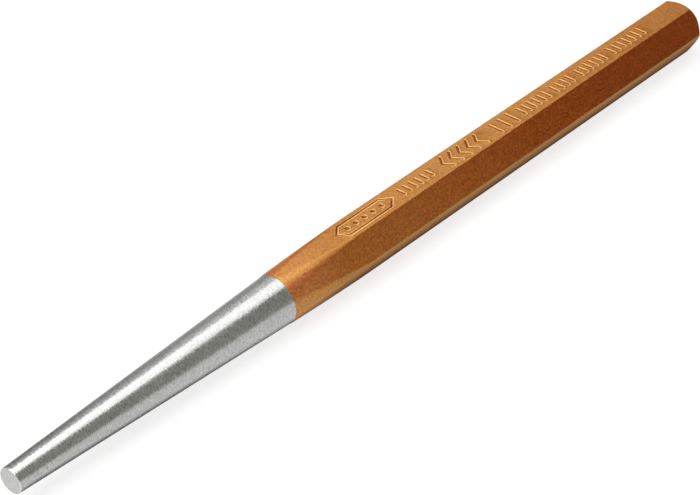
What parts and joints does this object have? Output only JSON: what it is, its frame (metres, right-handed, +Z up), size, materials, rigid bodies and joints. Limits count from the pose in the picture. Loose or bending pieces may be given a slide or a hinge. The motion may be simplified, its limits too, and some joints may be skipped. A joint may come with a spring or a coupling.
{
  "type": "taper punch",
  "caption": "Long steel taper punch with a flat round tip, a bare ground cone and a copper-lacquered hexagonal shank with a chamfered struck head.",
  "frame": {"origin": "on the surface the punch lies on, under the middle of its length and of its width", "axes": "the punch lies on one flat of its hexagonal shank with its axis along X at 8 mm above the surface: -X is towards the working tip, +X towards the struck head, +Z up out of the stamped flat"},
  "size_m": [0.3, 0.0184, 0.016],
  "materials": {
    "ground_steel": "satin",
    "copper_lacquer": "gloss"
  },
  "bodies": {
    "root": {"steel_punch": "ground_steel", "lacquer_coat": "copper_lacquer"}
  },
  "joints": []
}
